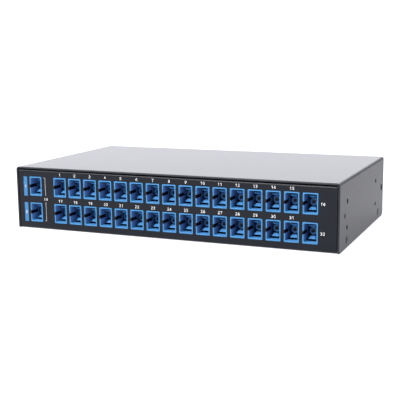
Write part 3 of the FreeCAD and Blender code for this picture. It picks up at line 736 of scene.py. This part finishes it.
            # The side walls take the shaded copy of the blue: painted shade.
            if abs(abs(middle.x) - half) < self.close:
                return Zone.WALL
            # The sill in front of the arms takes the lighter copy of the blue: painted light.
            if abs(middle.z + high) < self.close and middle.y < self.ramp_front:
                return Zone.LATCH
        return told

    def moulding(self, rim_half: Pair) -> Mesh:
        """The whole adapter's mesh.

        Args:
            rim_half: half width and half height of the rim.

        Returns:
            The mesh that all adapters share.
        """
        shell = self.housing(rim_half)
        mesh = bmesh.new()
        mesh.from_mesh(shell)
        bpy.data.meshes.remove(shell)
        for side in (1, -1):
            self.ramp(mesh, side)
        self.core(mesh)
        data = settled(mesh, "sc_adapter")
        for finish in ZONE_FINISHES:
            data.materials.append(finish.material)
        for face in data.polygons:
            face.material_index = self.zone(face)
        shade_by_angle(data, self.crisp_degrees)
        return data

    def build(self) -> None:
        """Stands an adapter in every port."""
        shared = None
        for node in self.nodes:
            low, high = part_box(node)
            if shared is None:
                shared = self.moulding(((high.x - low.x) / 2, (high.z - low.z) / 2))
            place = Matrix.Translation(((low.x + high.x) / 2, low.y, (low.z + high.z) / 2))
            made = as_piece("moulded_" + node, shared, place)
            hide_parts(node)
        LOG.info("adapters: %d, %d faces each", len(self.nodes), len(shared.polygons))


# ----- Case -----


EdgeTest = Callable[[Vector, Vector], bool]

WELD_DISTANCE = 0.001 * MM
SHARP_EDGE = math.radians(50)
BEND_LEAST, BEND_MOST = math.radians(1), math.radians(30)
BEND_WIDTH = 0.8 * MM
SAME_WAY = 0.6
ROUNDING_STEPS = 3


def both(test: Callable[[Vector], bool]) -> EdgeTest:
    """Makes a test of an edge's two ends out of a test of one."""
    return lambda one, other: test(one) and test(other)


def in_bend(face: Face, curved: set[Face]) -> bool:
    """Tells the narrow faces of a sheet's bend.

    Args:
        face: the face.
        curved: the faces of rounded edges.

    Returns:
        Whether it is one of them.
    """
    turned = [
        edge for edge in face.edges
        if len(edge.link_faces) == 2 and BEND_LEAST < edge.calc_face_angle() < BEND_MOST
        and not any(other in curved for other in edge.link_faces)
    ]
    longest = max(edge.calc_length() for edge in face.edges)
    return len(turned) > 1 and face.calc_area() / longest < BEND_WIDTH


def soften(node: str, name: str, finish: Finish, kinds: Sequence[tuple[float, EdgeTest]]) -> None:
    """Rounds the sharp edges of a sheet, as a baked coat does, on a copy that stands for its solid.

    Args:
        node: the solid's name.
        name: the new piece's name.
        finish: its coat.
        kinds: how far each kind of edge is rounded, and the test that tells it.
    """
    mesh = bmesh.new()
    mesh.from_mesh(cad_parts[node].data)
    bmesh.ops.remove_doubles(mesh, verts=mesh.verts, dist=WELD_DISTANCE)
    rounded: list[Face] = []
    for reach, belongs in kinds:
        chosen = [
            edge for edge in mesh.edges
            if edge.is_manifold and edge.calc_face_angle() > SHARP_EDGE
            and belongs(edge.verts[0].co, edge.verts[1].co)
        ]
        made = bmesh.ops.bevel(
            mesh, geom=chosen, offset=reach, offset_type="OFFSET", segments=ROUNDING_STEPS,
            profile=0.5, affect="EDGES", clamp_overlap=True, miter_outer="ARC",
        )
        rounded += made["faces"]
    mesh.normal_update()
    curved = {face for face in rounded if face.is_valid}
    curved |= {face for face in mesh.faces if face not in curved and in_bend(face, curved)}
    normals = []
    for face in mesh.faces:
        face.smooth = True
        normals += [corner_normal(face, corner.vert, curved) for corner in face.loops]
    data = settled(mesh, name)
    data.normals_split_custom_set(normals)
    data.materials.append(finish.material)
    made = as_piece(name, data)
    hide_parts(node)


def corner_normal(face: Face, vertex: bmesh.types.BMVert, curved: set[Face]) -> Vector:
    """The shading normal of a face at one of its corners: flats stay flat, curves run into them.

    Args:
        face: the face.
        vertex: its corner.
        curved: the faces that belong to a bend or a rounded edge.

    Returns:
        The normal.
    """
    if face not in curved:
        return face.normal.copy()
    near = [other for other in vertex.link_faces if other.normal.dot(face.normal) > SAME_WAY]
    flats = [other for other in near if other not in curved]
    if flats:
        return max(flats, key=lambda other: other.normal.dot(face.normal)).normal.copy()
    return sum((other.normal for other in near), Vector()).normalized()


@dataclass
class Case:
    """The folded tray and cover, with their screws."""

    tray_rounding: float = 0.2 * MM
    cover_rounding: float = 0.45 * MM
    lip_rounding: float = 0.9 * MM
    lip_underside: float = 0.12 * MM
    wall_inside: float = 0.6 * MM
    hole_rounding: float = 0.08 * MM
    wall_margin: Triple = (3.2 * MM, 3.6 * MM, 3.0 * MM)
    lip_band: Pair = (2.0 * MM, 0.9 * MM)
    sheet: float = 1.1 * MM
    front_reach: float = 0.1 * MM
    close: float = 0.05 * MM
    seat_radius: float = 2.6 * MM
    head_radius: float = 2.1 * MM
    head_depth: float = 1.1 * MM
    shank_radius: float = 1.45 * MM
    shank_length: float = 5.0 * MM
    ear_head_radius: float = 1.22 * MM
    ear_shank_radius: float = 0.85 * MM
    ear_shank_length: float = 4.0 * MM
    head_land: float = 0.3 * MM
    head_edge: Pair = (0.08 * MM, 0.24 * MM)
    cone_share: float = 0.55
    turned_sides: int = 40
    recess_reach: float = 1.6 * MM
    recess_width: float = 0.66 * MM
    recess_depth: float = 0.95 * MM
    recess_face: float = 0.2 * MM
    recess_over: float = 0.1 * MM
    recess_taper: float = 0.45
    crisp_degrees: float = 30.0
    cover_turn: Pair = (0.35, 9.0)
    ear_turn: Pair = (0.8, 0.0)

    def sheets(self) -> None:
        """Coats the two sheets and rounds their edges."""
        low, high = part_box("top_cover")
        front, (along, bottom, top) = low.y + self.front_reach, self.wall_margin
        in_wall = both(
            lambda v: low.y + along < v.y < high.y - along and low.z + bottom < v.z < high.z - top
        )
        at_lip = both(lambda v: v.z > high.z - self.close and v.y < front)
        under, over = (high.z - depth for depth in self.lip_band)
        in_lip = both(lambda v: under < v.z < over and v.y < front)
        in_side = both(lambda v: abs(v.x) < high.x - self.sheet and v.y < front)

        def under_lip(one: Vector, other: Vector) -> bool:
            """Tells the lower edge of the top's front lip."""
            return in_lip(one, other) and abs(one.z - other.z) < self.close

        def inside_wall(one: Vector, other: Vector) -> bool:
            """Tells the inner front edges of the side walls."""
            return in_side(one, other) and abs(one.x - other.x) < self.close

        special = (
            (self.hole_rounding, in_wall),
            (self.lip_rounding, at_lip),
            (self.lip_underside, under_lip),
            (self.wall_inside, inside_wall),
        )

        def plain(one: Vector, other: Vector) -> bool:
            """Tells all other edges."""
            return not any(belongs(one, other) for _, belongs in special)

        # The tray gets the darker copy of the coat: painted shade on the front panel.
        tray_kinds = [(self.tray_rounding, both(lambda v: True))]
        soften("base_tray", "coated_tray", Finish.TRAY_COAT, tray_kinds)
        cover_kinds = [*special, (self.cover_rounding, plain)]
        soften("top_cover", "coated_cover", Finish.COVER_COAT, cover_kinds)
        LOG.info("case: tray and cover coated")

    def screw(self, name: str, head: float, shank: float, length: float) -> Mesh:
        """A countersunk screw with a cross recess, its head's face at x = 0 and its shank along -x.

        Args:
            name: the mesh's name.
            head: radius of the head.
            shank: radius of the shank.
            length: over all.

        Returns:
            The screw's mesh.
        """
        around = [math.tau * step / self.turned_sides for step in range(self.turned_sides)]
        profile = [
            (shank, -length),
            (shank, -self.head_depth),
            (head, -self.cone_share * self.head_depth),
            (head, -self.head_land),
            (head - self.head_edge[0], -self.head_edge[1]),
        ]
        body, cutter = bmesh.new(), bmesh.new()
        skin(body, [[(x, r * math.cos(a), r * math.sin(a)) for a in around] for r, x in profile])
        share = head / self.head_radius
        floor = -self.recess_face - self.recess_depth * share
        for turned in (False, True):
            rings = []
            for x, narrow in ((self.recess_over, 1.0), (floor, self.recess_taper)):
                long = self.recess_reach * share * narrow
                wide = self.recess_width * share / 2 * (0.5 + narrow / 2)
                flat = [(long, wide), (-long, wide), (-long, -wide), (long, -wide)]
                rings.append([(x, b, a) if turned else (x, a, b) for a, b in flat])
            skin(cutter, rings)
        made = carved(body, cutter, name)
        made.materials.append(Finish.BLACK_SCREW.material)
        shade_by_angle(made, self.crisp_degrees)
        return made

    def screws(self, node: str, size: Triple, places: dict[str, float], turn: Pair) -> None:
        """Stands screws in both side walls, in place of their plain solids.

        Args:
            node: the solids' name.
            size: radius of the head, radius of the shank, and length.
            places: what each place along the wall adds to a screw's name, and where it is.
            turn: turn of a cross in radians, and how much more for each metre along the wall.
        """
        low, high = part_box(node)
        name = node.removesuffix("s")
        data = self.screw(name, *size)
        for side, word in ((1, "right"), (-1, "left")):
            facing = Matrix.Rotation(0.0 if side > 0 else math.pi, 4, "Z")
            for place, y in places.items():
                spot = Matrix.Translation((side * CAD_BOX[1].x, y, (low.z + high.z) / 2))
                way = facing @ Matrix.Rotation(turn[0] + turn[1] * y, 4, "X")
                title = f"{name}_{word}{place}"
                as_piece(title, data, spot @ way)
        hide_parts(node)

    def build(self) -> None:
        """Builds the case's pieces."""
        self.sheets()
        low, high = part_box("cover_screws")
        places = {"_front": low.y + self.seat_radius, "_rear": high.y - self.seat_radius}
        size = (self.head_radius, self.shank_radius, self.shank_length)
        self.screws("cover_screws", size, places, self.cover_turn)
        low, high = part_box("ear_screws")
        size = (self.ear_head_radius, self.ear_shank_radius, self.ear_shank_length)
        self.screws("ear_screws", size, {"": (low.y + high.y) / 2}, self.ear_turn)


# ----- Print on the front panel -----


CURVE_STEPS = 5


@dataclass(frozen=True)
class Stroke:
    """One stroke of a character, through points of a cell that is 1 wide and 1 high."""

    points: tuple[Pair, ...]
    curved: bool = False
    closed: bool = False

    def line(self, width: float, height: float) -> list[Vector]:
        """The stroke's middle line at size, with its curves filled in.

        Args:
            width: of the cell.
            height: of the cell.

        Returns:
            Its points, from the cell's middle.
        """
        knots = [Vector(((x - 0.5) * width, (z - 0.5) * height)) for x, z in self.points]
        if not self.curved:
            return knots
        count = len(knots)
        line = []
        for i in range(count if self.closed else count - 1):
            near = [i + step for step in (-1, 0, 1, 2)]
            if self.closed:
                a, b, c, d = (knots[place % count] for place in near)
            else:
                a, b, c, d = (knots[min(max(place, 0), count - 1)] for place in near)
            for step in range(CURVE_STEPS):
                t = step / CURVE_STEPS
                bend, twist = 2 * a - 5 * b + 4 * c - d, 3 * b - a - 3 * c + d
                line.append((2 * b + (c - a) * t + bend * t * t + twist * t**3) / 2)
        return line if self.closed else line + [knots[-1]]


SIX = (
    (0.9, 0.98), (0.5, 0.95), (0.14, 0.68), (0.04, 0.3), (0.22, 0.04), (0.6, 0), (0.94, 0.16),
    (0.9, 0.5), (0.5, 0.62), (0.1, 0.4),
)
ZERO = (
    (0.5, 1), (0.9, 0.86), (1, 0.5), (0.9, 0.14), (0.5, 0), (0.1, 0.14), (0, 0.5), (0.1, 0.86)
)

CHARACTERS: dict[str, tuple[Stroke, ...]] = {
    "0": (Stroke(ZERO, True, True),),
    "1": (Stroke(((0.2, 0.76), (0.62, 1), (0.62, 0))),),
    "2": (
        Stroke(
            ((0.05, 0.86), (0.45, 1), (0.88, 0.88), (0.86, 0.58), (0.45, 0.28), (0.12, 0.06)), True
        ),
        Stroke(((0.04, 0), (1, 0))),
    ),
    "3": (
        Stroke(((0.05, 0.92), (0.5, 1), (0.9, 0.86), (0.84, 0.6), (0.36, 0.53)), True),
        Stroke(((0.36, 0.53), (0.84, 0.46), (0.96, 0.2), (0.6, 0), (0.02, 0.06)), True),
    ),
    "4": (Stroke(((1, 0.27), (0, 0.27), (0.7, 1), (0.7, 0))),),
    "5": (
        Stroke(((0.9, 1), (0.16, 1), (0.12, 0.56))),
        Stroke(
            ((0.12, 0.56), (0.55, 0.62), (0.96, 0.4), (0.84, 0.08), (0.4, 0), (0.02, 0.06)), True
        ),
    ),
    "6": (Stroke(SIX, True),),
    "7": (Stroke(((0, 1), (1, 1), (0.36, 0))),),
    "8": (
        Stroke(
            ((0.5, 1), (0.88, 0.86), (0.8, 0.6), (0.5, 0.52), (0.2, 0.6), (0.12, 0.86)), True, True
        ),
        Stroke(
            ((0.5, 0.52), (0.9, 0.4), (0.94, 0.12), (0.5, 0), (0.06, 0.12), (0.1, 0.4)), True, True
        ),
    ),
    "9": (Stroke(tuple((1 - x, 1 - z) for x, z in SIX), True),),
    "I": (Stroke(((0.5, 0), (0.5, 1))),),
    "N": (Stroke(((0, 0), (0, 1), (1, 0), (1, 1))),),
}


@dataclass
class PanelPrint:
    """Port numbers, frame lines, and the two blue fields beside the uplinks."""

    digit_height: float = 1.9 * MM
    digit_width: float = 1.25 * MM
    digit_pitch: float = 1.7 * MM
    stroke: float = 0.24 * MM
    lift: float = 0.02 * MM
    step: float = 0.0003 * MM
    over_port: float = 8.9 * MM
    beside_row: float = 223.3 * MM
    columns: int = 16
    word_up: float = 21.6 * MM
    line: float = 0.28 * MM
    line_across: float = 23.4 * MM
    line_foot: float = 1.2 * MM
    upper_line: Pair = (24.1 * MM, 36.8 * MM)
    lower_line: Pair = (6.0 * MM, 19.4 * MM)
    field_across: Pair = (5.55 * MM, 8.5 * MM)
    upper_field: Pair = (23.3 * MM, 37.1 * MM)
    lower_field: Pair = (4.95 * MM, 18.6 * MM)
    mark_across: float = 7.03 * MM
    sharpest_mitre: float = 0.4

    def text(self, mesh: BMesh, words: str, across: float, up: float, y: float) -> None:
        """Adds flat lettering on the panel, centred on a point.

        Each step of a stroke lies a hair in front of the last, so that crossing strokes stay clean.

        Args:
            mesh: the working mesh.
            words: what it says.
            across: its middle, across the panel.
            up: its middle, up the panel.
            y: place of the ink's face.
        """
        start = len(mesh.verts)
        for place, letter in enumerate(words):
            middle = across + (place - (len(words) - 1) / 2) * self.digit_pitch
            for stroke in CHARACTERS[letter]:
                depth = y - (len(mesh.verts) - start) * self.step
                self.ribbon(mesh, stroke, (middle, depth, up))

    def ribbon(self, mesh: BMesh, stroke: Stroke, place: Point) -> None:
        """Lays one stroke as a flat band of even width, mitred at its corners.

        Args:
            mesh: the working mesh.
            stroke: the stroke.
            place: middle of the character's cell.
        """
        half = self.stroke / 2
        line = stroke.line(self.digit_width - self.stroke, self.digit_height - self.stroke)
        if not stroke.closed:
            line[0] = line[0] - (line[1] - line[0]).normalized() * half
            line[-1] = line[-1] + (line[-1] - line[-2]).normalized() * half
        rows = []
        for i, point in enumerate(line):
            last = line[i - 1] if i or stroke.closed else None
            after = line[(i + 1) % len(line)] if i + 1 < len(line) or stroke.closed else None
            ways = (last and point - last, after and after - point)
            ways = [way.normalized() for way in ways if way]
            along = sum(ways, Vector((0.0, 0.0))).normalized()
            reach = half / max(self.sharpest_mitre, along.dot(ways[-1]))
            aside = Vector((-along.y, along.x)) * reach
            depth = place[1] - 2 * i * self.step
            ends = (point + aside, point - aside)
            rows.append([mesh.verts.new((place[0] + x, depth, place[2] + z)) for x, z in ends])
        pairs = list(zip(rows, rows[1:])) + ([(rows[-1], rows[0])] if stroke.closed else [])
        for (a, b), (d, c) in pairs:
            mesh.faces.new((a, b, c, d))

    def lay(self, name: str, mesh: BMesh, finish: Finish) -> None:
        """Lays ink on the panel as a piece.

        Args:
            name: the piece's name.
            mesh: its working mesh.
            finish: its ink.
        """
        bmesh.ops.recalc_face_normals(mesh, faces=mesh.faces)
        data = settled(mesh, name)
        data.materials.append(finish.material)
        as_piece(name, data)

    def strips(self, name: str, areas: Iterable[Area], y: float, finish: Finish) -> None:
        """Flat rectangles of ink, as one piece.

        Args:
            name: the piece's name.
            areas: left, right, low and high of each.
            y: place of the ink's face.
            finish: its ink.
        """
        mesh = bmesh.new()
        for left, right, low, high in areas:
            corners = ((left, low), (right, low), (right, high), (left, high))
            mesh.faces.new([mesh.verts.new((x, y, z)) for x, z in corners])
        self.lay(name, mesh, finish)

    def build(self) -> None:
        """Prints the panel."""
        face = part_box("base_tray")[0].y - self.lift
        left = CAD_BOX[0].x
        middle, half = left + self.line_across, self.line / 2
        numbers = bmesh.new()
        for port in range(1, 2 * self.columns + 1):
            low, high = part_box(f"adapter_out_{port:02d}")
            across, up = (low.x + high.x) / 2, (low.z + high.z) / 2 + self.over_port
            if port % self.columns == 0:
                across, up = left + self.beside_row, (low.z + high.z) / 2
            self.text(numbers, str(port), across, up, face)
        self.text(numbers, "IN", middle, self.word_up, face)
        self.lay("port_numbers", numbers, Finish.WHITE_INK)
        upper, lower, foot = self.upper_line, self.lower_line, middle - self.line_foot
        bracket = [
            (middle - half, middle + half, *upper),
            (middle - half, middle + half, *lower),
            (foot, middle - half, upper[1] - self.line, upper[1]),
            (foot, middle - half, lower[0], lower[0] + self.line),
        ]
        self.strips("uplink_frame_line", bracket, face, Finish.GREY_INK)
        across = [left + edge for edge in self.field_across]
        fields = [(*across, *self.upper_field), (*across, *self.lower_field)]
        self.strips("uplink_fields", fields, face, Finish.BLUE_INK)
        marks = bmesh.new()
        for mark, (_, _, low, high) in enumerate(fields, start=1):
            up = (low + high) / 2
            self.text(marks, str(mark), left + self.mark_across, up, face - self.lift)
        self.lay("uplink_marks", marks, Finish.WHITE_INK)
        LOG.info("print: numbers of %d ports, frame line and fields", 2 * self.columns)


# ----- Inside -----


@dataclass
class Inside:
    """What the closed case holds, out of sight: its solids are shown as they are packed."""

    finishes: tuple[tuple[Finish, tuple[str, ...]], ...] = (
        (Finish.SPRING_STEEL, ("output_adapter_clips", "uplink_adapter_clips")),
        (Finish.CONNECTOR_BLUE, ("output_connectors", "uplink_connectors")),
        (Finish.BOOT_RUBBER, ("output_boots", "uplink_boots")),
        (Finish.PLATED_NUT, ("ear_nuts",)),
        (Finish.FIBRE_JACKET, ("fibre_coil", "upper_bundle", "lower_bundle", "module_tails")),
        (Finish.SADDLE_NYLON, ("coil_saddles",)),
        (Finish.FOAM_TAPE, ("module_pad",)),
        (Finish.MODULE_STEEL, ("splitter_module",)),
    )

    def build(self) -> None:
        """Dresses every inner solid."""
        for finish, nodes in self.finishes:
            for node in nodes:
                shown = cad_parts[node]
                shown.data.materials.clear()
                shown.data.materials.append(finish.material)
            LOG.info("inside: %s dressed", ", ".join(nodes))


# ----- Studio -----


@dataclass(frozen=True)
class Lamp:
    """A soft panel light that faces the case."""

    name: str
    place: Point
    size: Pair
    watts: float
    aim: Point = (0.0, 0.0, 0.02)

    def build(self) -> None:
        """Hangs the light."""
        data = bpy.data.lights.new(self.name, "AREA")
        data.shape = "RECTANGLE"
        data.size, data.size_y = self.size
        data.energy = self.watts
        made = linked(self.name, data)
        made.location = self.place
        made.rotation_mode = "QUATERNION"
        way = Vector(self.aim) - Vector(self.place)
        made.rotation_quaternion = way.to_track_quat("-Z", "Y")


@dataclass
class Studio:
    """Pale floor, soft lights, a bright surround and the camera."""

    azimuth: float = 23.13
    elevation: float = 10.23
    roll: float = -0.61
    place: Point = (0.23623, -0.56260, 0.12556)
    lens: float = 75.9
    sensor: float = 36.0
    nearest: float = 0.01
    lamps: tuple[Lamp, ...] = (
        Lamp("key", (-0.05, -1.8, 2.0), (1.4, 1.0), 56.0),
        Lamp("strip", (-0.67, -1.0, 1.1), (1.05, 0.42), 20.0),
    )
    front: float = 0.3
    rear_left: float = 3.15
    rear_right: float = 0.6
    rear_span: Pair = (-0.1, 0.2)
    depth_span: Pair = (-0.35, 0.25)
    surround_tint: Shade = (0.975, 0.98, 1.03, 1.0)
    floor_half: float = 6.0
    floor_gap: float = 0.2 * MM
    floor_cells: int = 8
    floor_glow: float = 0.85
    floor_roughness: float = 0.85
    floor_level: float = 0.1
    floor_tint: Shade = (0.985, 0.99, 1.05, 1.0)
    floor_grey: Shade = (0.3, 0.3, 0.3, 1.0)

    def camera(self) -> None:
        """Stands the camera in front of the right corner, a little above the case."""
        azimuth, elevation = math.radians(self.azimuth), math.radians(self.elevation)
        level = math.cos(elevation)
        back = Vector((math.sin(azimuth) * level, -math.cos(azimuth) * level, math.sin(elevation)))
        across = Vector((0, 0, 1)).cross(back).normalized()
        upward = back.cross(across)
        turn = math.radians(self.roll)
        right = math.cos(turn) * across + math.sin(turn) * upward
        up = math.cos(turn) * upward - math.sin(turn) * across
        data = bpy.data.cameras.new("camera")
        data.sensor_width = self.sensor
        data.lens = self.lens
        data.clip_start = self.nearest
        made = linked("camera", data)
        way = Matrix((right, up, back)).transposed().to_4x4()
        made.matrix_world = Matrix.Translation(self.place) @ way
        bpy.context.scene.camera = made

    def floor(self) -> None:
        """Lays the pale floor."""
        mesh = bmesh.new()
        cells = self.floor_cells
        bmesh.ops.create_grid(mesh, x_segments=cells, y_segments=cells, size=self.floor_half)
        data = settled(mesh, "floor")
        surface = Surface("pale_floor")
        surface.set(Roughness=self.floor_roughness, Specular_IOR_Level=self.floor_level)
        surface.set(Base_Color=self.floor_grey)
        surface.set(Emission_Color=self.floor_tint, Emission_Strength=self.floor_glow)
        data.materials.append(surface.material)
        made = linked("floor", data)
        made.location = (0.0, 0.0, CAD_BOX[0].z - self.floor_gap)

    def world(self) -> None:
        """A white surround: brightest behind the case on the left, dim towards the front."""
        world = bpy.data.worlds.new("surround")
        bpy.context.scene.world = world
        world.use_nodes = True
        tree = world.node_tree
        place = tree.nodes.new("ShaderNodeTexCoord")
        parts = tree.nodes.new("ShaderNodeSeparateXYZ")
        tree.links.new(place.outputs["Generated"], parts.inputs["Vector"])

        def fade(axis: str, span: Pair, ends: tuple[float, float | Socket]) -> Socket:
            """A strength that changes along one axis.

            Args:
                axis: the direction's part that it follows.
                span: where it starts and ends.
                ends: strengths at both, the second a number or a socket.

            Returns:
                The strength.
            """
            made = tree.nodes.new("ShaderNodeMapRange")
            made.interpolation_type = "SMOOTHSTEP"
            made.inputs["From Min"].default_value, made.inputs["From Max"].default_value = span
            for socket, end in zip(("To Min", "To Max"), ends):
                if isinstance(end, float):
                    made.inputs[socket].default_value = end
                else:
                    tree.links.new(end, made.inputs[socket])
            tree.links.new(parts.outputs[axis], made.inputs["Value"])
            return made.outputs["Result"]

        rear = fade("X", self.rear_span, (self.rear_left, self.rear_right))
        strength = fade("Y", self.depth_span, (self.front, rear))
        tree.links.new(strength, tree.nodes["Background"].inputs["Strength"])
        tree.nodes["Background"].inputs["Color"].default_value = self.surround_tint

    def build(self) -> None:
        """Sets the stage."""
        bpy.context.scene.view_settings.view_transform = "Standard"
        self.camera()
        self.floor()
        self.world()
        for lamp in self.lamps:
            lamp.build()
        LOG.info("studio ready")


def main() -> None:
    """Builds the splitter's looks in order and reports each piece."""
    logging.basicConfig(level=logging.INFO, format="%(name)s %(message)s")
    for group in (Studio(), Case(), AdapterBank(), PanelPrint(), Inside()):
        group.build()


if __name__ == "__main__":
    main()
